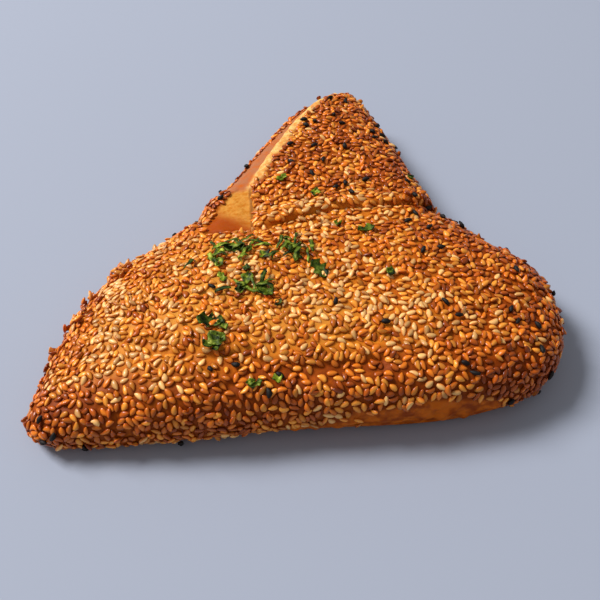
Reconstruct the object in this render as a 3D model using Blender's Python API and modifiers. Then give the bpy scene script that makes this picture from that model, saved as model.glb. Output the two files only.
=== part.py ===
"""A large baked samosa: one closed pastry, built from the folds that the dough makes.

The frame is in metres, +Z up. The long folded edge runs along X on the -Y side, the narrow
tongue of the pastry points to +Y, and the origin is under the middle of the pastry's box.
"""

import math

import bpy
from mathutils import Vector

MM = 0.001

# Driving sizes, in millimetres.
ROLL_HEIGHT = 31.0       # the stuffed front roll, from the table to its crown
LAYER_HEIGHT = 21.5      # the lower dough layer, which shows as a ledge on the left
FLAP_HEIGHT = 27.0       # the upper flap of the tongue, where it meets the roll
RIM_HEIGHT = 9.0         # the widest line round the pastry, above the table
CUT_RIM_HEIGHT = 18.0    # the same line along the flap's cut edge, over the ledge
BASE_INSET = 9.0         # how far the rounded lower rim turns in before the flat base
TRAY_DEPTH = 1.2         # each piece sags this far below the tray's face, which presses it flat
LIFT = 0.4               # each layer of the tongue sags this much less than the one before

# The tongue gets lower towards its tip, by this much for each millimetre past its root.
TONGUE_ROOT = 20.0
FLAP_SLOPE = 0.085
LAYER_SLOPE = 0.06

# Where a height changes: by how much, from where, and over what length, in millimetres.
TIP_FALL = (9.0, 12.0, 80.0)
LOBE_FALL = (2.5, 40.0, 50.0)
BACK_FALL = (3.0, 0.0, 30.0)
TIP_RIM_FALL = (3.5, 40.0, 50.0)

# How square a shoulder is: 2 is a quarter of an ellipse, and more is fuller.
ROLL_FULLNESS = 2.6
LAYER_FULLNESS = 3.2
CUT_FULLNESS = 4.6
FOLD_FULLNESS = 2.6

# The flap's cut edge runs up and to the right, and its shoulder softens to the right of it.
CUT_EDGE_START = (-2.0, 40.0)
CUT_EDGE_SLOPE = 0.36
CUT_TO_FOLD = (1.0, 7.0, 20.0)

# Outlines seen from above, anticlockwise from the left tip, in millimetres.
ROLL_OUTLINE = (
    (-91, -53), (-78, -58), (-50, -59), (-5, -59.5), (36, -60), (61, -56.5), (77, -49),
    (85.5, -36), (85.5, -20), (78.5, -4), (65, 12), (51, 26), (20, 33), (-14, 31),
    (-38, 27.5), (-54, 17.5), (-66.5, 8), (-77.5, -8.5), (-85.5, -31),
)
ROLL_CENTRE = (-2, -19)
LAYER_OUTLINE = (
    (10, -12), (44, 2), (50, 25), (47, 42), (42, 64), (36, 85), (29.5, 95), (20.5, 100.5),
    (8, 96.5), (-6.5, 77.5), (-20, 53.5), (-36.5, 29), (-32, 4),
)
LAYER_CENTRE = (10, 42)
FLAP_OUTLINE = (
    (14, -14), (44, 0), (53, 24), (50, 42), (45, 64), (39.5, 85), (32.5, 95.5), (23, 96.5),
    (15, 91), (7.5, 82), (0.5, 71), (-5, 59), (-11.5, 48), (-14.5, 41), (-14.5, 28), (-14, 14),
    (-8, -8),
)
FLAP_CENTRE = (16, 38)

CURVE_STEPS = 24         # straight steps between two outline points, when spacing them evenly
DOUGH = (0.72, 0.36, 0.11, 1.0)
DOUGH_ROUGHNESS = 0.45


def clear_scene():
    for obj in list(bpy.data.objects):
        bpy.data.objects.remove(obj)


def dough_material():
    material = bpy.data.materials.new("dough")
    material.use_nodes = True
    shader = material.node_tree.nodes["Principled BSDF"]
    shader.inputs["Base Color"].default_value = DOUGH
    shader.inputs["Roughness"].default_value = DOUGH_ROUGHNESS
    shader.inputs["Metallic"].default_value = 0.0
    return material


def ease(value):
    """0 below 0, 1 above 1, and a smooth step between."""
    t = min(max(value, 0.0), 1.0)
    return t * t * (3 - 2 * t)


def change(value, amount, start, length):
    """0 before start, amount past start + length, and a smooth step between."""
    return amount * ease((value - start) / length)


def curve_point(points, t):
    """A point of the closed Catmull-Rom curve through points, t counting them."""
    i = int(math.floor(t))
    f = t - i
    a, b, c, d = (Vector(points[(i + k) % len(points)]) for k in (-1, 0, 1, 2))
    return 0.5 * (2 * b + (c - a) * f + (2 * a - 5 * b + 4 * c - d) * f**2
                  + (3 * b - 3 * c + d - a) * f**3)


def even_outline(points, count):
    """count points along the closed smooth curve, the same distance apart."""
    fine = [curve_point(points, k / CURVE_STEPS) for k in range(len(points) * CURVE_STEPS)]
    walked = [0.0]
    for k in range(len(fine)):
        walked.append(walked[-1] + (fine[(k + 1) % len(fine)] - fine[k]).length)
    even = []
    k = 0
    for n in range(count):
        target = walked[-1] * n / count
        while walked[k + 1] < target:
            k += 1
        share = (target - walked[k]) / (walked[k + 1] - walked[k])
        even.append(fine[k].lerp(fine[(k + 1) % len(fine)], share))
    return even


def pillow_rings(outline, centre, crown, rim, fullness, turns_up, turns_down):
    """Rings of points from the flat base, round the rim and up to the crown.

    crown(p), rim(p) and fullness(p) give the top's height, the widest line's height and how
    square the shoulder is, at a place p seen from above.
    """
    centre = Vector(centre)
    rings = []
    for k in range(turns_down, 0, -1):
        angle = math.pi / 2 * k / turns_down
        ring = []
        for edge in outline:
            inset = BASE_INSET * (1 - math.cos(angle)) / (edge - centre).length
            place = edge.lerp(centre, inset)
            drop = (rim(edge) + TRAY_DEPTH) * math.sin(angle)
            ring.append((place.x, place.y, rim(edge) - drop))
        rings.append(ring)
    for k in range(turns_up):
        angle = math.pi / 2 * k / turns_up
        ring = []
        for edge in outline:
            power = 2 / fullness(edge)
            place = centre.lerp(edge, math.cos(angle) ** power)
            low = rim(edge)
            ring.append((place.x, place.y, low + (crown(place) - low) * math.sin(angle) ** power))
        rings.append(ring)
    return rings


def closed_mesh(name, rings):
    """A closed cage of quads through the rings, with one flat face at each end."""
    count = len(rings[0])
    vertices = [Vector(p) * MM for ring in rings for p in ring]
    faces = [tuple(reversed(range(count)))]
    for r in range(len(rings) - 1):
        low = r * count
        for i in range(count):
            j = (i + 1) % count
            faces.append((low + i, low + j, low + count + j, low + count + i))
    faces.append(tuple(range((len(rings) - 1) * count, len(rings) * count)))
    mesh = bpy.data.meshes.new(name)
    mesh.from_pydata(vertices, [], faces)
    return mesh


def pillow(name, outline, centre, crown, rim, fullness, sectors, turns_up, turns_down, lift=0.0):
    """One folded piece of dough as a soft closed form, from a cage with Subdivision Surface."""
    rings = pillow_rings(even_outline(outline, sectors), centre, crown, rim, fullness,
                         turns_up, turns_down)
    obj = bpy.data.objects.new(name, closed_mesh(name, rings))
    obj.location.z = lift * MM
    bpy.context.scene.collection.objects.link(obj)
    smooth = obj.modifiers.new("soft", "SUBSURF")
    smooth.levels = smooth.render_levels = 1
    return obj


def roll_crown(place):
    """The front roll is thinnest at its left tip and a little lower over its right lobe."""
    falls = (change(-place.x, *TIP_FALL), change(place.x, *LOBE_FALL), change(place.y, *BACK_FALL))
    return ROLL_HEIGHT - sum(falls)


def roll_rim(edge):
    return RIM_HEIGHT - change(-edge.x, *TIP_RIM_FALL)


def front_roll():
    return pillow("front_roll", ROLL_OUTLINE, ROLL_CENTRE, roll_crown, roll_rim,
                  lambda edge: ROLL_FULLNESS, sectors=54, turns_up=7, turns_down=2)


def layer_crown(place):
    return LAYER_HEIGHT - LAYER_SLOPE * max(place.y - TONGUE_ROOT, 0)


def lower_layer():
    return pillow("lower_layer", LAYER_OUTLINE, LAYER_CENTRE, layer_crown,
                  lambda edge: RIM_HEIGHT, lambda edge: LAYER_FULLNESS,
                  sectors=40, turns_up=5, turns_down=2, lift=LIFT)


def folded_side(edge):
    """0 on the flap's cut edge, on the left, and 1 on its folded edge, on the right."""
    cut_x = CUT_EDGE_START[0] + CUT_EDGE_SLOPE * (edge.y - CUT_EDGE_START[1])
    return change(edge.x - cut_x, *CUT_TO_FOLD)


def flap_crown(place):
    return FLAP_HEIGHT - FLAP_SLOPE * (place.y - TONGUE_ROOT)


def flap_rim(edge):
    return CUT_RIM_HEIGHT + (RIM_HEIGHT - CUT_RIM_HEIGHT) * folded_side(edge)


def flap_fullness(edge):
    return CUT_FULLNESS + (FOLD_FULLNESS - CUT_FULLNESS) * folded_side(edge)


def upper_flap():
    return pillow("upper_flap", FLAP_OUTLINE, FLAP_CENTRE, flap_crown, flap_rim, flap_fullness,
                  sectors=48, turns_up=6, turns_down=2, lift=2 * LIFT)


def joined(name, pieces):
    """One closed mesh from pieces that overlap, by Boolean union."""
    body = pieces[0]
    for other in pieces[1:]:
        union = body.modifiers.new("fold", "BOOLEAN")
        union.operation = "UNION"
        union.object = other
    graph = bpy.context.evaluated_depsgraph_get()
    mesh = bpy.data.meshes.new_from_object(body.evaluated_get(graph))
    for piece in pieces:
        bpy.data.objects.remove(piece)
    mesh.name = name
    return bpy.data.objects.new(name, mesh)


def press_flat(obj):
    """The tray that it baked on keeps the underside flat."""
    for vertex in obj.data.vertices:
        vertex.co.z = max(vertex.co.z, 0.0)


def centre_over_origin(obj):
    """Moves the mesh so that the origin is under the middle of its box."""
    xs = [vertex.co.x for vertex in obj.data.vertices]
    ys = [vertex.co.y for vertex in obj.data.vertices]
    middle = Vector(((min(xs) + max(xs)) / 2, (min(ys) + max(ys)) / 2, 0))
    for vertex in obj.data.vertices:
        vertex.co -= middle


def main():
    clear_scene()
    pastry = joined("samosa", [front_roll(), lower_layer(), upper_flap()])
    press_flat(pastry)
    centre_over_origin(pastry)
    pastry.data.materials.clear()
    pastry.data.materials.append(dough_material())
    pastry.data.shade_smooth()
    collection = bpy.data.collections.new("Samosa")
    bpy.context.scene.collection.children.link(collection)
    collection.objects.link(pastry)


main()
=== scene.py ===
"""The looks of a large baked samosa: a golden crust under toasted sesame, black seeds and herbs.

+X runs along the folded front edge, +Y towards the narrow tongue, and +Z up, as in the part's
own frame. Lengths and places are in millimetres, and places are counted from the middle of
the front edge, on the table.
"""

import math

import bpy
import numpy as np
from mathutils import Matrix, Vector, noise
from mathutils.bvhtree import BVHTree
from mathutils.kdtree import KDTree


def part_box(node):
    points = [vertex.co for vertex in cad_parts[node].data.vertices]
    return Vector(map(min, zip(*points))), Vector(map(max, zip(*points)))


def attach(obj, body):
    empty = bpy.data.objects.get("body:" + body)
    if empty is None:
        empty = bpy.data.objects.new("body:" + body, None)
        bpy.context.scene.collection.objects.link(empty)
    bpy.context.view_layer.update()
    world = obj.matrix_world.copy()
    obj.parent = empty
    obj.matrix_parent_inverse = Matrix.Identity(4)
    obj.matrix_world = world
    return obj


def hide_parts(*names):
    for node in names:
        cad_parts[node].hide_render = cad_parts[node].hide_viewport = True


MM = 0.001

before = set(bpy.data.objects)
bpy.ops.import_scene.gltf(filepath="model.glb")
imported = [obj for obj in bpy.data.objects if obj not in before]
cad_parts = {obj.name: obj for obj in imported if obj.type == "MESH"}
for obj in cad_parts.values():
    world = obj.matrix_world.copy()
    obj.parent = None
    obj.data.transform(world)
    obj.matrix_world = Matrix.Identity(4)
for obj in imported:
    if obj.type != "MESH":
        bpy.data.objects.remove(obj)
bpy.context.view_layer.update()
FRONT = np.array((0.0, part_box("samosa")[0].y, 0.0))

# The camera looks down on the front edge, turned a little to the left of it.
CAMERA_TILT = math.radians(50)
CAMERA_TURN = math.radians(-5)
CAMERA_DISTANCE = 275.5
CAMERA_TARGET = (2.6, 58.3, 0.0)
CAMERA_LENS = 45.6
SENSOR_WIDTH = 36.0

# The crust's mesh.
CRUST_VOXEL = 0.75
CRUST_SMOOTHING = 14
# How far the glaze stands up round each seed.
GLAZE_HEIGHT = 0.20
# The dough's crown lies this much lower than the CAD's, to leave room for the seeds on it.
CROWN_SETTLING = 2.2

# Lines on the pastry seen from above, from the front towards the tongue's tip.
FLAP_EDGE = (
    (-12.5, 71.5), (-12.5, 100.5), (-9.5, 107.5), (-3, 118.5), (2.5, 130.5), (9.5, 141.5),
    (17, 150.5), (26, 157.5),
)
CREASE = ((-30, 72.5), (-11, 72.5), (0, 74.5), (12, 78), (19, 79.5), (37, 79.5), (52, 83.5))
GROOVE = ((-48, 25.5), (-37, 19), (-26, 15), (-8, 10), (8, 9), (22, 10.5))
# Short shallow wrinkles lie at random along the roll's front: how many, and the area.
WRINKLE_COUNT = 8
WRINKLE_AREA = ((-56, 4), (58, 34))
# The bare patch of the lower layer, beside the flap.
PATCH = ((-12, 71.5), (-12, 99.5), (-17.5, 101), (-25, 89.5), (-30.5, 76.5), (-28, 72))
# Seeds are heaped along the left side of the roll.
HEAPS = ((-82, 30), (-71, 49), (-58, 66))
# The paler golden middle of the roll: strength, place and radius.
GOLDEN_MIDDLE = ((1.0, (-36, 38), 24), (0.7, (6, 28), 16), (0.5, (-18, 56), 15))
# Broad swells and dips of the dough: height, place and radius.
SWELLS = (
    (0.9, (-38, 34), 16), (0.6, (6, 26), 10), (2.8, (83, 52), 14), (1.2, (64, 74), 8),
    (-1.0, (-66, 60), 9), (-1.8, (-50, 72), 16), (-1.2, (-88, 16), 12),
)
# Bubbles in the bare skin of the front edge: how many, their radii, and height over radius.
BLISTER_COUNT = 70
BLISTER_RADII = (0.8, 1.9)
BLISTER_RISE = 0.36
# How low the seeds reach on the front, above the table, along X.
SEED_LINE_X = (-90, -40, -14, 4, 14, 30, 45, 58, 65, 90)
SEED_LINE_Z = (1.5, 2.5, 5, 8.5, 13.5, 16, 16, 11.5, 4, 2.5)

# Seeds: length, width and thickness.
SESAME_SIZE = (3.2, 2.02, 1.15)
NIGELLA_SIZE = (3.1, 1.7, 1.6)

# Each kind of thing has its own random draws, so that changing one leaves the others alone.
CRUST_DRAWS = 7
NIGELLA_DRAWS = 8
SESAME_DRAWS = 9
LEAF_DRAWS = 10
STRIP_DRAWS = 11


def ramp(value, start, end):
    """0 at start and before, 1 at end and after, and a smooth step between."""
    t = np.clip((value - start) / (end - start), 0.0, 1.0)
    return t * t * (3 - 2 * t)


def bump_at(points, place, radius):
    """1 at a place seen from above, falling softly to 0 over about two radii."""
    away = np.hypot(points[:, 0] - place[0], points[:, 1] - place[1])
    return np.exp(-((away / radius) ** 2))


def noise_at(points, size, seed):
    """Smooth noise from about -1 to 1, with bumps about size millimetres apart."""
    offset = Vector((17.3, 5.1, 9.7)) * seed
    return np.array([noise.noise(Vector(p) / size + offset) for p in points])


def side_of_path(points, path):
    """The distance from a path seen from above: above 0 on its right, below 0 on its left."""
    nearest = np.full(len(points), np.inf)
    signed = np.zeros(len(points))
    for start, end in zip(path[:-1], path[1:]):
        start = np.array(start, float)
        step = np.array(end, float) - start
        share = np.clip((points[:, :2] - start) @ step / (step @ step), 0, 1)
        off = points[:, :2] - start - share[:, None] * step
        away = np.hypot(off[:, 0], off[:, 1])
        right = step[1] * off[:, 0] - step[0] * off[:, 1] > 0
        closer = away < nearest
        nearest = np.where(closer, away, nearest)
        signed = np.where(closer, np.where(right, away, -away), signed)
    return signed


def depth_inside(points, polygon):
    """How far inside a polygon seen from above each point is; below 0 is outside."""
    closed = polygon + polygon[:1]
    inside = np.zeros(len(points), bool)
    x, y = points[:, 0], points[:, 1]
    for (ax, ay), (bx, by) in zip(closed[:-1], closed[1:]):
        crosses = (ay > y) != (by > y)
        reach = ax + (y - ay) * (bx - ax) / ((by - ay) or 1e-9)
        inside ^= crosses & (x < reach)
    away = np.abs(side_of_path(points, closed))
    return np.where(inside, away, -away)


# --- Where the crust is bare, pale or dark -------------------------------------------------


class Zones:
    """What each point of the crust is, as numbers from 0 to 1; over_line is in millimetres."""

    def __init__(self, points, facing):
        x, y, z = points.T
        up = facing[:, 2]
        wander = 0.9 * noise_at(points, 5.0, 1)
        self.tongue = ramp(y, 80, 94)
        past_cut = side_of_path(points, FLAP_EDGE) + 0.5 * wander
        beside_cut = ramp(y, 96.5, 101.5) * ramp(z, 12.5, 14.5)
        wide = 5.4 - 1.2 * ramp(y, 125, 155) + 0.9 * noise_at(points, 2.6, 9)
        self.lip = ramp(past_cut, -2.6, -0.4) * (1 - ramp(past_cut, wide - 1.2, wide)) * beside_cut
        self.lip *= 1 - ramp(y, 150, 155)
        self.ledge = (1 - ramp(past_cut, -0.6, 0.8)) * beside_cut * ramp(up, -0.3, -0.05)
        self.heap = 1 - ramp(np.abs(side_of_path(points, HEAPS)), 1.5, 6)
        self.heap *= ramp(noise_at(points, 8, 8), -0.15, 0.2)
        # A thin painted shadow on the patch, along the flap's cut edge.
        self.flap_edge_shadow = (1 - ramp(np.abs(past_cut + 0.6), 0.2, 0.8)) * (1 - ramp(y, 98, 101))
        self.patch = ramp(depth_inside(points, PATCH) + 0.4 * wander, -0.4, 0.6) * ramp(z, 13.5, 15.0)
        past_crease = side_of_path(points, CREASE) + 0.5 * wander
        self.crease = (1 - ramp(np.abs(past_crease - 0.3), 0.3, 1.5)) * ramp(z, 16, 19)
        self.brow = ramp(past_crease, -9, -3) * (1 - ramp(past_crease, -1.6, -0.4)) * ramp(x, -13, -9)
        self.groove = 1 - ramp(np.abs(side_of_path(points, GROOVE) + wander), 1.0, 4.5)
        line = np.interp(x, SEED_LINE_X, SEED_LINE_Z)
        self.over_line = z - line + 1.2 * wander
        front = 1 - ramp(y, 12, 20)
        self.low = (1 - ramp(self.over_line, -0.8, 1.2)) * front
        self.low = np.maximum(self.low, (1 - ramp(z, 1.5, 3.5)))
        self.front_slope = 1 - ramp(y, 8, 18)
        self.left_tip = ramp(-x, 62, 84)
        self.right_lobe = ramp(x, 30, 72)
        golden = sum(share * bump_at(points, place, radius) for share, place, radius in GOLDEN_MIDDLE)
        self.golden = np.clip(golden, 0, 1)
        self.pale = ramp(noise_at(points, 18, 13), 0.05, 0.40)
        self.bare = np.max([self.lip, self.ledge, self.patch, 0.94 * self.low], axis=0)
        self.under = 1 - ramp(up, -0.75, -0.45)


# --- The crust -----------------------------------------------------------------------------


def add_object(name, mesh):
    obj = bpy.data.objects.new(name, mesh)
    bpy.context.scene.collection.objects.link(obj)
    return obj


def coordinates(mesh):
    """The points of a mesh, in millimetres from the middle of the front edge."""
    values = np.zeros(len(mesh.vertices) * 3)
    mesh.vertices.foreach_get("co", values)
    return (values.reshape(-1, 3) - FRONT) / MM


def set_coordinates(mesh, points):
    mesh.vertices.foreach_set("co", (points * MM + FRONT).ravel())


def facings(mesh):
    """The normals at the points of a mesh."""
    values = np.zeros(len(mesh.vertices) * 3)
    mesh.vertex_normals.foreach_get("vector", values)
    return values.reshape(-1, 3)


def store(mesh, name, values):
    """Keeps one number for each point, for a material to read."""
    attribute = mesh.attributes.new(name, "FLOAT", "POINT")
    attribute.data.foreach_set("value", np.asarray(values, np.float32))


def fine_copy(name, node):
    """A fine even mesh of a CAD node's shape, with the facets smoothed away."""
    source = add_object("source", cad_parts[node].data.copy())
    remesh = source.modifiers.new("even", "REMESH")
    remesh.mode = "VOXEL"
    remesh.voxel_size = CRUST_VOXEL * MM
    soften = source.modifiers.new("soften", "SMOOTH")
    soften.factor = 0.5
    soften.iterations = CRUST_SMOOTHING
    graph = bpy.context.evaluated_depsgraph_get()
    mesh = bpy.data.meshes.new_from_object(source.evaluated_get(graph))
    bpy.data.objects.remove(source)
    mesh.name = name
    return add_object(name, mesh)


def wrinkle_paths(rng):
    """Short bowed lines across the roll, at random places."""
    paths = []
    for _ in range(WRINKLE_COUNT):
        x, y = rng.uniform(*WRINKLE_AREA)
        length = rng.uniform(9, 16)
        bow = rng.uniform(-2.5, 2.5)
        paths.append(((x, y), (x + length / 2, y + bow), (x + length, y)))
    return paths


def crust_relief(points, zones, wrinkles):
    """How far the baked dough stands out from its plain shape, in millimetres."""
    height = -0.6 + 0.75 * noise_at(points, 26, 2) + 0.4 * noise_at(points, 10, 3)
    height += 0.14 * noise_at(points, 3.6, 4)
    for swell, place, radius in SWELLS:
        height += swell * bump_at(points, place, radius)
    for path in wrinkles:
        height -= 0.7 * (1 - ramp(np.abs(side_of_path(points, path)), 0, 2.2))
    height -= 1.2 * zones.groove * (1 - zones.low)
    height += 1.2 * zones.brow - 1.8 * zones.crease
    height += zones.lip * (0.5 + 0.35 * noise_at(points, 2.6, 10))
    height -= 0.7 * zones.ledge
    height -= CROWN_SETTLING * ramp(points[:, 2], 21, 29.5)
    height -= 0.5 * zones.patch * (1 + 0.8 * noise_at(points, 6, 5))
    return height


def blisters(points, zones, rng):
    """Small round bubbles in the bare skin of the front edge."""
    height = np.zeros(len(points))
    skin = np.flatnonzero((zones.low > 0.6) & (points[:, 1] < 20) & (points[:, 2] > 3))
    for index in rng.choice(skin, BLISTER_COUNT, replace=False):
        away = np.linalg.norm(points - points[index], axis=1)
        radius = rng.uniform(*BLISTER_RADII)
        height += BLISTER_RISE * radius * np.exp(-((away / radius) ** 2))
    return height


def crust_toast_and_shading(points, zones):
    """How dark the crust is, from 0, pale, to 1, dark brown: partly its bake, partly painted shade
    and light.
    """
    toast_and_shading = 0.40 + 0.16 * noise_at(points, 14, 6) + 0.08 * noise_at(points, 4, 7)
    # The left tip and the tongue are browner from the bake; the right lobe is darker partly as
    # painted shade.
    toast_and_shading += 0.14 * zones.left_tip + 0.20 * zones.right_lobe + 0.12 * zones.tongue
    # The front slope and the groove are darker partly as painted shade.
    toast_and_shading += 0.22 * zones.front_slope + 0.12 * zones.groove
    toast_and_shading -= 0.30 * zones.golden
    # The bare crease is paler partly as painted light.
    toast_and_shading -= 0.16 * zones.crease
    return np.clip(toast_and_shading, 0, 1)


def make_crust(rng):
    crust = fine_copy("crust", "samosa")
    mesh = crust.data
    points = coordinates(mesh)
    facing = facings(mesh)
    zones = Zones(points, facing)
    height = crust_relief(points, zones, wrinkle_paths(rng)) + blisters(points, zones, rng)
    height *= 1 - zones.under
    moved = points + facing * height[:, None]
    moved[:, 2] = np.maximum(moved[:, 2], 0)
    set_coordinates(mesh, moved)
    mesh.update()
    store(mesh, "toast_and_shading", crust_toast_and_shading(points, zones))
    store(mesh, "lip", zones.lip)
    store(mesh, "ledge", zones.ledge)
    store(mesh, "patch", zones.patch)
    store(mesh, "foot", ramp(-points[:, 0] - points[:, 1], -68, -56))
    store(mesh, "flap_edge_shadow", zones.flap_edge_shadow)
    store(mesh, "low", zones.low)
    mesh.shade_smooth()
    return crust


# --- Scattering seeds ----------------------------------------------------------------------


def places_on(mesh, count, rng):
    """Random places all over a mesh, with the normals there."""
    mesh.calc_loop_triangles()
    corners = np.array([t.vertices for t in mesh.loop_triangles])
    points = coordinates(mesh)
    facing = facings(mesh)
    a, b, c = (points[corners[:, k]] for k in range(3))
    area = np.linalg.norm(np.cross(b - a, c - a), axis=1)
    chosen = corners[rng.choice(len(corners), count, p=area / area.sum())]
    far = np.sqrt(rng.random(count))
    across = rng.random(count)
    weights = np.stack([1 - far, far * (1 - across), far * across], axis=1)[:, :, None]
    spots = (points[chosen] * weights).sum(axis=1)
    normal = (facing[chosen] * weights).sum(axis=1)
    return spots, normal / np.linalg.norm(normal, axis=1)[:, None]


def tangents(normal, rng):
    """A random direction along the surface at each place."""
    loose = rng.normal(size=normal.shape)
    loose -= (loose * normal).sum(axis=1)[:, None] * normal
    return loose / np.linalg.norm(loose, axis=1)[:, None]


class Room:
    """Keeps the seeds clear of each other. A seed counts as three balls in a row."""

    CELL = 3.6          # side of the cubes that the seeds are sorted into
    STEP = 0.92         # distance between the balls
    FAR = 3.6           # seeds with their middles further apart than this can't touch
    TOUCHING = 1.5      # how near another's middle a heaped seed must be
    BALLS = ((-1, 0.64), (0, 0.86), (1, 0.64))      # steps along the seed, and radius

    def __init__(self):
        self.cells = {}

    def key(self, spot):
        return tuple(int(math.floor(v / self.CELL)) for v in spot)

    def near(self, spot):
        i, j, k = self.key(spot)
        for di in (-1, 0, 1):
            for dj in (-1, 0, 1):
                for dk in (-1, 0, 1):
                    yield from self.cells.get((i + di, j + dj, k + dk), ())

    def balls(self, spot, along):
        return [(spot + along * (s * self.STEP), r) for s, r in self.BALLS]

    def takes(self, spot, along, tightness, heaped=False):
        """True, and the seed is kept, if no ball comes closer to another than tightness allows.

        A seed on a heap must also touch one that is there already.
        """
        spot = Vector(spot)
        mine = self.balls(spot, Vector(along))
        held = not heaped
        for other, theirs in self.near(spot):
            away = (other - spot).length
            if away > self.FAR:
                continue
            held = held or away < self.TOUCHING
            for p, r in mine:
                for q, s in theirs:
                    if (p - q).length_squared < (tightness * (r + s)) ** 2:
                        return False
        if not held:
            return False
        self.cells.setdefault(self.key(spot), []).append((spot, mine))
        return True


def seed_form(stations, sides):
    """A closed seed of unit size: its points, triangles, and how near each point is to the rim.

    Each station is (place along the seed, half width, half thickness).
    """
    points = [(-0.5, 0, 0)]
    rim = [1.0]
    for along, width, thick in stations:
        for k in range(sides):
            angle = 2 * math.pi * k / sides
            points.append((along - 0.5, width * math.cos(angle), thick * math.sin(angle)))
            rim.append(abs(math.cos(angle)) ** 2)
    points.append((0.5, 0, 0))
    rim.append(1.0)
    last = len(points) - 1
    triangles = []
    for k in range(sides):
        n = (k + 1) % sides
        triangles.append((0, 1 + n, 1 + k))
        triangles.append((last, last - sides + k, last - sides + n))
        for ring in range(len(stations) - 1):
            low = 1 + ring * sides
            triangles.append((low + k, low + n, low + sides + n))
            triangles.append((low + k, low + sides + n, low + sides + k))
    return np.array(points), np.array(triangles), np.array(rim)


SESAME_STATIONS = (
    (0.05, 0.30, 0.45), (0.24, 0.74, 0.80), (0.48, 0.99, 1.00), (0.74, 0.93, 0.93),
    (0.93, 0.56, 0.62),
)
NIGELLA_STATIONS = ((0.06, 0.35, 0.4), (0.3, 0.85, 0.8), (0.62, 1.0, 1.0), (0.92, 0.6, 0.55))


def mesh_of(name, points, triangles):
    """A mesh from points in millimetres and triangles, as arrays."""
    mesh = bpy.data.meshes.new(name)
    mesh.vertices.add(len(points))
    set_coordinates(mesh, points)
    mesh.loops.add(triangles.size)
    mesh.loops.foreach_set("vertex_index", triangles.ravel())
    mesh.polygons.add(len(triangles))
    mesh.polygons.foreach_set("loop_start", np.arange(0, triangles.size, 3))
    mesh.update(calc_edges=True)
    mesh.shade_smooth()
    return mesh


def joined_seeds(name, form, size, seeds, rng):
    """One piece of many seeds. Each seed is (spot, along, normal)."""
    unit, triangles, rim = form
    spots = np.array([s[0] for s in seeds])
    along = np.array([s[1] for s in seeds])
    normal = np.array([s[2] for s in seeds])
    across = np.cross(normal, along)
    count = len(seeds)
    spread = rng.normal(1.0, (0.07, 0.08, 0.10), (count, 3))
    half = np.array([1.0, 0.5, 0.5]) * np.array(size) * np.clip(spread, 0.8, 1.2)
    local = unit[None, :, :] * half[:, None, :]
    bend = rng.normal(0, 0.10, count)[:, None] * (local[:, :, 0] ** 2)
    points = spots[:, None, :] + local[:, :, :1] * along[:, None, :]
    points = points + (local[:, :, 1:2] + bend[:, :, None]) * across[:, None, :]
    points = points + local[:, :, 2:3] * normal[:, None, :]
    offsets = (np.arange(count) * len(unit))[:, None, None]
    mesh = mesh_of(name, points.reshape(-1, 3), (triangles[None] + offsets).reshape(-1, 3))
    store(mesh, "rim", np.tile(rim, count))
    store(mesh, "tone", np.repeat(rng.random(count), len(unit)))
    return add_object(name, mesh)


def tilted(along, normal, amount, rng):
    """The seed's directions after a random tilt, in radians about both of its flat axes."""
    across = np.cross(normal, along)
    normal = normal + amount * (rng.normal() * along + rng.normal() * across)
    normal = normal / np.linalg.norm(normal)
    along = along - (along @ normal) * normal
    return along / np.linalg.norm(along), normal


# Layers of seeds: candidates, how closely they lie, height of their middles over the crust,
# tilt in radians, and whether they lie only on the heaps.
SESAME_LAYERS = (
    (60000, 0.88, 0.28, 0.12, False),
    (40000, 0.69, 0.46, 0.26, False),
    (4200, 0.55, 0.85, 0.50, False),
    (26000, 0.56, 1.30, 0.60, True),
    (26000, 0.56, 2.20, 0.80, True),
)


def lay_sesame(crust, room, rng):
    """Every sesame seed as (spot, along, normal, toast), lying on the crust or on others."""
    seeds = []
    for count, tightness, lift, tilt, heaped in SESAME_LAYERS:
        spots, normal = places_on(crust.data, count, rng)
        spots += normal * lift
        zones = Zones(spots, normal)
        along = tangents(normal, rng)
        chance = (1 - zones.bare) * (1 - zones.under)
        chance *= 1 - 0.9 * zones.crease * (1 - 0.6 * ramp(spots[:, 0], 14, 24))
        chance *= 1 - 0.45 * zones.groove
        if heaped:
            chance *= zones.heap
        looseness = 1 + 0.02 * zones.front_slope + 0.20 * zones.groove
        looseness -= 0.07 * zones.tongue + 0.05 * ramp(spots[:, 1], 22, 42)
        looseness += 0.12 * noise_at(spots, 9, 11)
        toast_and_shading = seed_toast_and_shading(spots, zones, rng)
        draw = rng.random(count)
        for i in np.flatnonzero(draw < chance ** 2):
            if not room.takes(spots[i], along[i], tightness * looseness[i], heaped):
                continue
            a, n = tilted(along[i], normal[i], tilt, rng)
            seeds.append((spots[i], a, n, toast_and_shading[i]))
    return seeds


def seed_toast_and_shading(spots, zones, rng):
    """How brown each seed is: more on the tongue and the right, less low on the front."""
    # Seeds on the right lobe and the front slope are darker partly as painted shade.
    toast_and_shading = 0.42 + 0.20 * zones.tongue + 0.20 * zones.right_lobe - 0.10 * zones.golden
    toast_and_shading += 0.16 * zones.left_tip + 0.14 * zones.front_slope - 0.15 * zones.heap
    toast_and_shading += 0.16 * noise_at(spots, 9, 12)
    # Seeds low on the front are paler partly as painted light.
    near_line = (1 - ramp(zones.over_line, 0, 6)) * zones.front_slope
    toast_and_shading -= 0.30 * near_line + 0.24 * zones.pale
    return toast_and_shading + rng.normal(0, 0.22, len(spots))


# Kinds of sesame by how brown they are: name, and the toast that each kind ends at.
SESAME_KINDS = (
    ("sesame_cream", 0.16), ("sesame_golden", 0.42), ("sesame_amber", 0.68),
    ("sesame_brown", math.inf),
)


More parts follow.
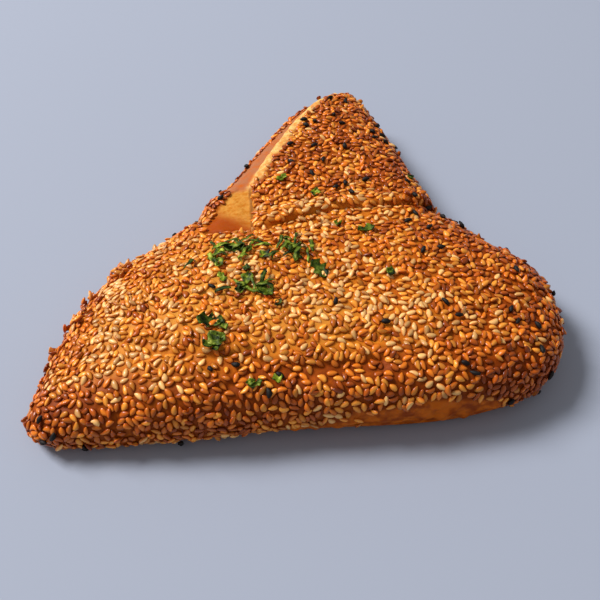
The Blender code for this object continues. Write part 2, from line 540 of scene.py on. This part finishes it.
def glaze_and_shade_round_seeds(mesh, seeds):
    """Raises the glazing that gathers round the seeds, and keeps how dark the dough is there: partly
    its own bake, partly painted shade.
    """
    points = coordinates(mesh)
    facing = facings(mesh)
    zones = Zones(points, facing)
    # Darker on the front slope and the right lobe, partly as painted shade, and on the left tip and
    # the tongue from the bake.
    baked = np.max([zones.front_slope, zones.right_lobe, zones.left_tip, 0.8 * zones.tongue], axis=0)
    tree = KDTree(len(seeds))
    for k, seed in enumerate(seeds):
        tree.insert(seed[0], k)
    tree.balance()
    away = np.array([tree.find(p)[2] for p in points])
    # Darker close to each seed: partly pooled glazing, partly painted shade between the seeds.
    store(mesh, "glaze_and_seed_shade", (1 - ramp(away, 1.3, 2.8)) * (0.30 + 0.52 * baked))
    raised = GLAZE_HEIGHT * (1 - ramp(away, 0.6, 2.0)) * (1 - zones.under)
    set_coordinates(mesh, points + facing * raised[:, None])
    mesh.update()


def make_sesame(crust, room, rng):
    seeds = lay_sesame(crust, room, rng)
    glaze_and_shade_round_seeds(crust.data, seeds)
    form = seed_form(SESAME_STATIONS, 8)
    pieces = {}
    low = -math.inf
    for name, high in SESAME_KINDS:
        kind = [s for s in seeds if low <= s[3] < high]
        pieces[name] = joined_seeds(name, form, SESAME_SIZE, kind, rng)
        low = high
    return pieces


# Black seeds lie in loose groups, and most are on the tongue and the right.
NIGELLA_TRIES = 1150
NIGELLA_APART = 4.0
NIGELLA_LIFT = 1.25


def make_nigella(crust, room, rng):
    spots, normal = places_on(crust.data, NIGELLA_TRIES, rng)
    zones = Zones(spots, normal)
    side = np.max([0.9 * zones.tongue, zones.right_lobe, 0.6 * zones.left_tip], axis=0)
    chance = (0.12 + 0.88 * side) * ramp(noise_at(spots, 15, 14), -0.15, 0.30)
    chance *= (1 - zones.bare) * (1 - zones.under)
    draw = rng.random(NIGELLA_TRIES)
    seeds = []
    for i in np.flatnonzero(draw < chance):
        spot = spots[i] + normal[i] * NIGELLA_LIFT
        if any(np.linalg.norm(spot - s[0]) < NIGELLA_APART for s in seeds):
            continue
        along, tipped = tilted(tangents(normal[i:i + 1], rng)[0], normal[i], 0.25, rng)
        if room.takes(spot, along, 1.0):
            seeds.append((spot, along, tipped))
    return joined_seeds("nigella", seed_form(NIGELLA_STATIONS, 5), NIGELLA_SIZE, seeds, rng)


# Things are dropped from this height, which is above everything.
DROP_HEIGHT = 80


def drop_on(surface, place):
    """Where a thing dropped at a place seen from above meets the crust, and the normal there."""
    start = Vector(np.array((place[0], place[1], DROP_HEIGHT)) * MM + FRONT)
    hit, normal, _, _ = surface.ray_cast(start, Vector((0, 0, -1)))
    if hit is None:
        return None, None
    return (np.array(hit) - FRONT) / MM, np.array(normal)


# --- Herbs ---------------------------------------------------------------------------------

HERB_LIFT = 1.2
BLADE_THICKNESS = 0.16
# Chopped leaves fall round one place, and a few strays lie anywhere on the back half.
LEAF_COUNT = 17
LEAF_MIDDLE = (-13, 42)
LEAF_SPREAD = (14, 18)
STRAY_COUNT = 8
STRAY_AREA = ((-20, 35), (60, 115))
LEAF_SLOPE = 0.6         # the least upward part of the crust's normal under a leaf
# Thin strips of leaf: the range of their lengths and widths, and how they turn, in degrees.
STRIP_LENGTHS = (3.0, 8.5)
STRIP_WIDTHS = (0.7, 1.6)
STRIP_TURN = 55
# Tangles of strips: middle, spread along X and Y, how many, and their mean direction.
TANGLES = (
    ((-20, 59), (6.5, 3), 24, 10), ((0, 58), (3.5, 4), 18, 75), ((-14, 42), (5, 1.5), 11, -30),
)


def leaf_grid(length, width, curl, lobes, rng):
    """A thin crinkled blade lying along X: rows of points from its stalk to its tip."""
    rows, columns = 11, 6
    points = []
    phase = rng.uniform(0, 6)
    for i in range(rows):
        u = i / (rows - 1)
        half = 0.5 * width * math.sin(math.pi * (0.04 + 0.93 * u)) ** 0.6
        half *= 1 - 0.42 * math.cos(2 * math.pi * lobes * u + 0.5)
        rise = curl * length * 0.28 * (u - 0.5) ** 2 * 4 - curl * length * 0.12
        for j in range(columns):
            v = 2 * j / (columns - 1) - 1
            fold = 0.45 * half * abs(v) + 0.30 * math.sin(9 * u + 4 * v + phase)
            sway = 0.10 * length * math.sin(2.4 * u + phase)
            points.append(((u - 0.5) * length, v * half + sway, rise + fold))
    return np.array(points), rows, columns


def blade_mesh(name, grids, rng):
    """Thin blades as one closed mesh: each grid gets an upper and a lower face and a rim."""
    points, triangles, spine, shade = [], [], [], []
    start = 0
    for grid, rows, columns, normal in grids:
        size = rows * columns
        points += [grid + normal * BLADE_THICKNESS / 2, grid - normal * BLADE_THICKNESS / 2]
        across = np.abs(np.linspace(-1, 1, columns))
        spine += [np.tile(across, rows), np.tile(across, rows)]
        shade.append(np.full(2 * size, rng.random()))
        quads = []
        for i in range(rows - 1):
            for j in range(columns - 1):
                a = start + i * columns + j
                top = (a, a + columns, a + columns + 1, a + 1)
                quads += [top, tuple(size + k for k in reversed(top))]
        edge = [i * columns for i in range(rows)]
        edge += [(rows - 1) * columns + j for j in range(1, columns)]
        edge += [i * columns + columns - 1 for i in reversed(range(rows - 1))]
        edge += list(reversed(range(1, columns - 1)))
        for a, b in zip(edge, edge[1:] + edge[:1]):
            quads.append((start + b, start + a, start + a + size, start + b + size))
        for a, b, c, d in quads:
            triangles += [(a, b, c), (a, c, d)]
        start += 2 * size
    mesh = mesh_of(name, np.concatenate(points), np.array(triangles))
    store(mesh, "spine", np.concatenate(spine))
    store(mesh, "shade", np.concatenate(shade))
    return mesh


def placed(points, place, turn, surface, rng):
    """Lays points drawn flat at the origin on the crust at a place, following its slope."""
    hit, normal = drop_on(surface, place)
    along = np.array([math.cos(turn), math.sin(turn), 0])
    along -= (along @ normal) * normal
    along /= np.linalg.norm(along)
    along, normal = tilted(along, normal, 0.12, rng)
    across = np.cross(normal, along)
    return hit + points @ np.stack([along, across, normal]) + normal * HERB_LIFT, normal


def leaf_places(surface, rng):
    """Where the leaves fall: on the crust, and not on its steep sides."""
    places = [rng.normal(LEAF_MIDDLE, LEAF_SPREAD) for _ in range(LEAF_COUNT)]
    places += [rng.uniform(*STRAY_AREA) for _ in range(STRAY_COUNT)]
    landed = []
    for place in places:
        hit, normal = drop_on(surface, place)
        if hit is not None and normal[2] > LEAF_SLOPE:
            landed.append(place)
    return landed


def make_leaves(surface, rng):
    grids = []
    for place in leaf_places(surface, rng):
        length = 3 + 5 * rng.random() ** 1.5
        width = length * rng.uniform(0.42, 0.70)
        lobes = 1 + int(length > 4.4) + int(length > 7)
        points, rows, columns = leaf_grid(length, width, rng.uniform(0.3, 0.9), lobes, rng)
        laid, normal = placed(points, place, rng.uniform(0, 2 * math.pi), surface, rng)
        grids.append((laid, rows, columns, normal))
    return add_object("herb_leaves", blade_mesh("herb_leaves", grids, rng))


def strip_grid(length, width, rng):
    """A narrow curved strip of leaf lying along X."""
    rows, columns = 10, 3
    turn, lift = rng.normal(0, 0.9), rng.uniform(0.2, 1.6)
    twist = rng.normal(0, 0.8)
    points = []
    for i in range(rows):
        u = i / (rows - 1)
        half = 0.5 * width * math.sin(math.pi * (0.06 + 0.9 * u)) ** 0.5
        bow = turn * length * 0.4 * (u - 0.5) ** 2 + 0.15 * math.sin(11 * u + turn)
        rise = lift * math.sin(math.pi * u) + 0.2 * math.sin(9 * u + lift)
        for j in range(columns):
            v = j / (columns - 1) * 2 - 1
            lean = twist * (u - 0.5)
            y = bow + v * half * math.cos(lean)
            z = rise + v * half * math.sin(lean) + 0.3 * half * abs(v)
            points.append(((u - 0.5) * length, y, z))
    return np.array(points), rows, columns


def make_strips(surface, rng):
    grids = []
    for middle, spread, count, heading in TANGLES:
        for _ in range(count):
            place = rng.normal(middle, spread)
            length = rng.uniform(*STRIP_LENGTHS)
            points, rows, columns = strip_grid(length, rng.uniform(*STRIP_WIDTHS), rng)
            turn = math.radians(heading + rng.normal(0, STRIP_TURN))
            laid, normal = placed(points, place, turn, surface, rng)
            grids.append((laid, rows, columns, normal))
    return add_object("herb_strips", blade_mesh("herb_strips", grids, rng))


# --- Materials -----------------------------------------------------------------------------


class Nodes:
    """Short calls for building one material's node tree."""

    def __init__(self, name):
        self.material = bpy.data.materials.new(name)
        self.material.use_nodes = True
        self.tree = self.material.node_tree
        self.shader = self.tree.nodes["Principled BSDF"]

    def link(self, source, target):
        self.tree.links.new(source, target)

    def attribute(self, name):
        node = self.tree.nodes.new("ShaderNodeAttribute")
        node.attribute_name = name
        return node.outputs["Fac"]

    def noise(self, size, detail=2.0, roughness=0.5):
        """Noise with bumps about size millimetres apart."""
        node = self.tree.nodes.new("ShaderNodeTexNoise")
        node.inputs["Scale"].default_value = 1 / (size * MM)
        node.inputs["Detail"].default_value = detail
        node.inputs["Roughness"].default_value = roughness
        where = self.tree.nodes.new("ShaderNodeTexCoord")
        self.link(where.outputs["Object"], node.inputs["Vector"])
        return node.outputs["Fac"]

    def math(self, operation, a, b):
        node = self.tree.nodes.new("ShaderNodeMath")
        node.operation = operation
        for socket, value in zip(node.inputs, (a, b)):
            if isinstance(value, (int, float)):
                socket.default_value = value
            else:
                self.link(value, socket)
        return node.outputs[0]

    def ramp(self, value, stops):
        """Colours or greys along a value: stops are (place, colour)."""
        node = self.tree.nodes.new("ShaderNodeValToRGB")
        elements = node.color_ramp.elements
        while len(elements) < len(stops):
            elements.new(0.5)
        for element, (place, colour) in zip(elements, stops):
            element.position = place
            element.color = (*colour, 1) if len(colour) == 3 else (colour[0],) * 3 + (1,)
        self.link(value, node.inputs["Fac"])
        return node.outputs["Color"]

    def mix(self, share, a, b):
        node = self.tree.nodes.new("ShaderNodeMix")
        node.data_type = "RGBA"
        self.link(share, node.inputs["Factor"])
        for socket, value in zip((node.inputs[6], node.inputs[7]), (a, b)):
            if isinstance(value, tuple):
                socket.default_value = (*value, 1)
            else:
                self.link(value, socket)
        return node.outputs[2]

    def times(self, a, b):
        """One colour multiplied by another."""
        node = self.tree.nodes.new("ShaderNodeMix")
        node.data_type = "RGBA"
        node.blend_type = "MULTIPLY"
        node.inputs["Factor"].default_value = 1.0
        self.link(a, node.inputs[6])
        self.link(b, node.inputs[7])
        return node.outputs[2]

    def bump(self, height, depth, strength=1.0):
        node = self.tree.nodes.new("ShaderNodeBump")
        node.inputs["Distance"].default_value = depth * MM
        node.inputs["Strength"].default_value = strength
        self.link(height, node.inputs["Height"])
        self.link(node.outputs["Normal"], self.shader.inputs["Normal"])

    def set(self, **values):
        for name, value in values.items():
            self.shader.inputs[name.replace("_", " ")].default_value = value

    def soft_inside(self, weight, scale):
        self.set(Subsurface_Weight=weight, Subsurface_Scale=scale * MM)
        self.shader.inputs["Subsurface Radius"].default_value = (1.0, 0.4, 0.15)


CRUST_PALE = (0.82, 0.35, 0.045)
CRUST_GOLD = (0.72, 0.22, 0.014)
CRUST_ORANGE = (0.50, 0.100, 0.004)
CRUST_BROWN = (0.27, 0.042, 0.002)
CRUST_DARK = (0.10, 0.016, 0.001)
# The colours of the dough as it bakes, from 0, pale, to 1, dark.
CRUST_STOPS = (
    (0.05, CRUST_PALE), (0.30, CRUST_GOLD), (0.55, CRUST_ORANGE), (0.78, CRUST_BROWN),
    (1.0, CRUST_DARK),
)
# Dark glazing round the seeds, partly painted shade between them.
GLAZE_AND_SHADE_COLOUR = (0.17, 0.026, 0.001)
SKIN_COLOUR = (0.66, 0.150, 0.007)
LIP_COLOUR = (0.76, 0.47, 0.155)
LIP_SHADE_COLOUR = (0.66, 0.28, 0.06)
# The bare dough of the ledge, darkened partly as painted shade.
LEDGE_AND_SHADE_COLOUR = (0.40, 0.140, 0.055)
PATCH_COLOUR = (0.62, 0.27, 0.045)
PATCH_STREAK_COLOUR = (0.50, 0.165, 0.010)
PATCH_FOOT_COLOUR = (0.34, 0.055, 0.001)
# Painted shadow under the flap's cut edge.
FLAP_EDGE_SHADOW_COLOUR = (0.09, 0.014, 0.001)


def crust_material():
    m = Nodes("crust")
    # The crust's stored darkness holds its bake and also painted shade and light.
    toast_and_shading = m.math("ADD", m.attribute("toast_and_shading"), m.math("MULTIPLY", m.noise(3.0, 4.0, 0.6), 0.30))
    toast_and_shading = m.math("SUBTRACT", toast_and_shading, 0.15)
    colour = m.ramp(toast_and_shading, CRUST_STOPS)
    # Darkens the crust close to the seeds: partly pooled glazing, partly painted shade.
    colour = m.mix(m.attribute("glaze_and_seed_shade"), colour, GLAZE_AND_SHADE_COLOUR)
    mottled = m.noise(4.0, 3.0)
    skin = m.mix(m.ramp(mottled, ((0.40, (0.0,)), (0.65, (1.0,)))), SKIN_COLOUR, CRUST_BROWN)
    colour = m.mix(m.math("MULTIPLY", m.attribute("low"), 0.8), colour, skin)
    streaks = m.ramp(m.noise(1.8, 5.0, 0.7), ((0.42, (0.0,)), (0.62, (1.0,))))
    patch = m.mix(streaks, PATCH_COLOUR, PATCH_STREAK_COLOUR)
    patch = m.mix(m.attribute("foot"), patch, PATCH_FOOT_COLOUR)
    colour = m.mix(m.attribute("patch"), colour, patch)
    # The ledge's bare dough, darker partly as painted shade.
    ledge = m.mix(m.ramp(mottled, ((0.45, (0.0,)), (0.75, (1.0,)))), LEDGE_AND_SHADE_COLOUR, CRUST_ORANGE)
    colour = m.mix(m.attribute("ledge"), colour, ledge)
    shaded = m.ramp(m.noise(2.0, 3.0), ((0.42, (0.0,)), (0.62, (1.0,))))
    lip = m.mix(shaded, LIP_COLOUR, LIP_SHADE_COLOUR)
    colour = m.mix(m.attribute("lip"), colour, lip)
    # Paints the shadow line under the flap's cut edge.
    colour = m.mix(m.math("MULTIPLY", m.attribute("flap_edge_shadow"), 0.65), colour, FLAP_EDGE_SHADOW_COLOUR)
    m.link(colour, m.shader.inputs["Base Color"])
    m.link(m.ramp(m.noise(6.0, 2.0), ((0.3, (0.42,)), (0.7, (0.62,)))), m.shader.inputs["Roughness"])
    m.set(Specular_IOR_Level=0.08)
    m.bump(m.noise(1.6, 3.0, 0.55), 0.25, 0.6)
    m.soft_inside(0.15, 2.0)
    return m.material


# The middle and rim colour of each kind of sesame; the darker rim is partly the seed's own toast and
# partly painted shade where it meets the dough.
SESAME_COLOURS = {
    "sesame_cream": ((0.94, 0.53, 0.18), (0.62, 0.165, 0.015)),
    "sesame_golden": ((0.91, 0.345, 0.038), (0.49, 0.092, 0.003)),
    "sesame_amber": ((0.77, 0.200, 0.012), (0.35, 0.050, 0.002)),
    "sesame_brown": ((0.48, 0.095, 0.005), (0.18, 0.022, 0.001)),
}


# How one seed's colour is darkened or lightened against the next.
SESAME_SHADES = (
    (0.0, (0.55, 0.48, 0.42)), (0.5, (0.9, 0.9, 0.9)), (1.0, (1.15, 1.15, 1.15)),
)


def sesame_material(name):
    core, rim = SESAME_COLOURS[name]
    m = Nodes(name)
    # Darker towards each seed's rim: partly its own toast, partly painted shade.
    edge = m.ramp(m.attribute("rim"), ((0.15, (0.0,)), (0.9, (1.0,))))
    colour = m.mix(edge, core, rim)
    shade = m.ramp(m.attribute("tone"), SESAME_SHADES)
    m.link(m.times(colour, shade), m.shader.inputs["Base Color"])
    m.set(Roughness=0.26, Specular_IOR_Level=0.30)
    m.bump(m.noise(0.35, 2.0), 0.03, 0.5)
    m.soft_inside(0.1, 1.0)
    return m.material


NIGELLA_STOPS = ((0.3, (0.003, 0.002, 0.002)), (0.8, (0.016, 0.011, 0.009)))


def nigella_material():
    m = Nodes("nigella")
    colour = m.ramp(m.noise(0.8, 3.0), NIGELLA_STOPS)
    m.link(colour, m.shader.inputs["Base Color"])
    m.set(Roughness=0.6, Specular_IOR_Level=0.25)
    m.bump(m.noise(0.4, 2.0), 0.06)
    return m.material


HERB_STOPS = (
    (0.36, (0.004, 0.010, 0.001)), (0.47, (0.05, 0.085, 0.002)), (0.58, (0.17, 0.23, 0.010)),
    (0.72, (0.48, 0.52, 0.08)),
)
HERB_SHADES = ((0.0, (0.25, 0.32, 0.25)), (0.5, (0.9, 0.9, 0.9)), (1.0, (1.3, 1.2, 1.0)))
HERB_VEIN = (0.30, 0.38, 0.08)


def herb_material():
    m = Nodes("herb")
    green = m.ramp(m.noise(2.2, 3.0, 0.6), HERB_STOPS)
    vein = m.ramp(m.attribute("spine"), ((0.0, (0.35,)), (0.25, (0.0,))))
    shade = m.ramp(m.attribute("shade"), HERB_SHADES)
    m.link(m.times(m.mix(vein, green, HERB_VEIN), shade), m.shader.inputs["Base Color"])
    m.set(Roughness=0.5, Specular_IOR_Level=0.15)
    m.bump(m.noise(0.7, 3.0), 0.12)
    return m.material


# --- The stage -----------------------------------------------------------------------------


# The floor and the lights are in metres, and their strengths in Blender's units.
FLOOR_SIZE = 6
FLOOR_COLOUR = (0.335, 0.365, 0.45, 1)
KEY_PLACE = (-2.05, 1.10, 2.45)
KEY_SIZE = 1.20
KEY_POWER = 150.0
SKY_STRENGTH = 0.34


def look_from(obj, place, target):
    obj.location = place
    obj.rotation_mode = "QUATERNION"
    obj.rotation_quaternion = (target - place).to_track_quat("-Z", "Y")


def add_camera():
    level = math.cos(CAMERA_TILT)
    left, front = math.sin(CAMERA_TURN) * level, -math.cos(CAMERA_TURN) * level
    back = Vector((left, front, math.sin(CAMERA_TILT)))
    target = Vector(np.array(CAMERA_TARGET) * MM + FRONT)
    data = bpy.data.cameras.new("camera")
    data.lens = CAMERA_LENS
    data.sensor_width = SENSOR_WIDTH
    camera = add_object("camera", data)
    look_from(camera, target + back * CAMERA_DISTANCE * MM, target)
    bpy.context.scene.camera = camera


def add_floor():
    bpy.ops.mesh.primitive_plane_add(size=FLOOR_SIZE)
    floor = bpy.context.object
    floor.name = "floor"
    m = Nodes("floor")
    m.set(Base_Color=FLOOR_COLOUR, Roughness=0.85)
    floor.data.materials.append(m.material)


def add_softbox(name, place, size, power):
    data = bpy.data.lights.new(name, "AREA")
    data.shape = "SQUARE"
    data.size = size
    data.energy = power
    look_from(add_object(name, data), Vector(place), Vector((0, 0, 0)))


def add_lights():
    add_softbox("key", KEY_PLACE, KEY_SIZE, KEY_POWER)
    world = bpy.data.worlds.new("studio")
    bpy.context.scene.world = world
    world.use_nodes = True
    background = world.node_tree.nodes["Background"]
    background.inputs["Color"].default_value = (1, 1, 1, 1)
    background.inputs["Strength"].default_value = SKY_STRENGTH


# --- Putting it together -------------------------------------------------------------------


def finish_piece(piece, material):
    piece.data.materials.clear()
    piece.data.materials.append(material)
    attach(piece, "root")


def main():
    crust = make_crust(np.random.default_rng(CRUST_DRAWS))
    graph = bpy.context.evaluated_depsgraph_get()
    surface = BVHTree.FromObject(crust, graph)
    finish_piece(crust, crust_material())
    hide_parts("samosa")
    room = Room()
    nigella = make_nigella(crust, room, np.random.default_rng(NIGELLA_DRAWS))
    finish_piece(nigella, nigella_material())
    for name, piece in make_sesame(crust, room, np.random.default_rng(SESAME_DRAWS)).items():
        finish_piece(piece, sesame_material(name))
    herb = herb_material()
    finish_piece(make_leaves(surface, np.random.default_rng(LEAF_DRAWS)), herb)
    finish_piece(make_strips(surface, np.random.default_rng(STRIP_DRAWS)), herb)
    add_camera()
    add_floor()
    add_lights()
    bpy.context.scene.view_settings.view_transform = "Standard"


main()
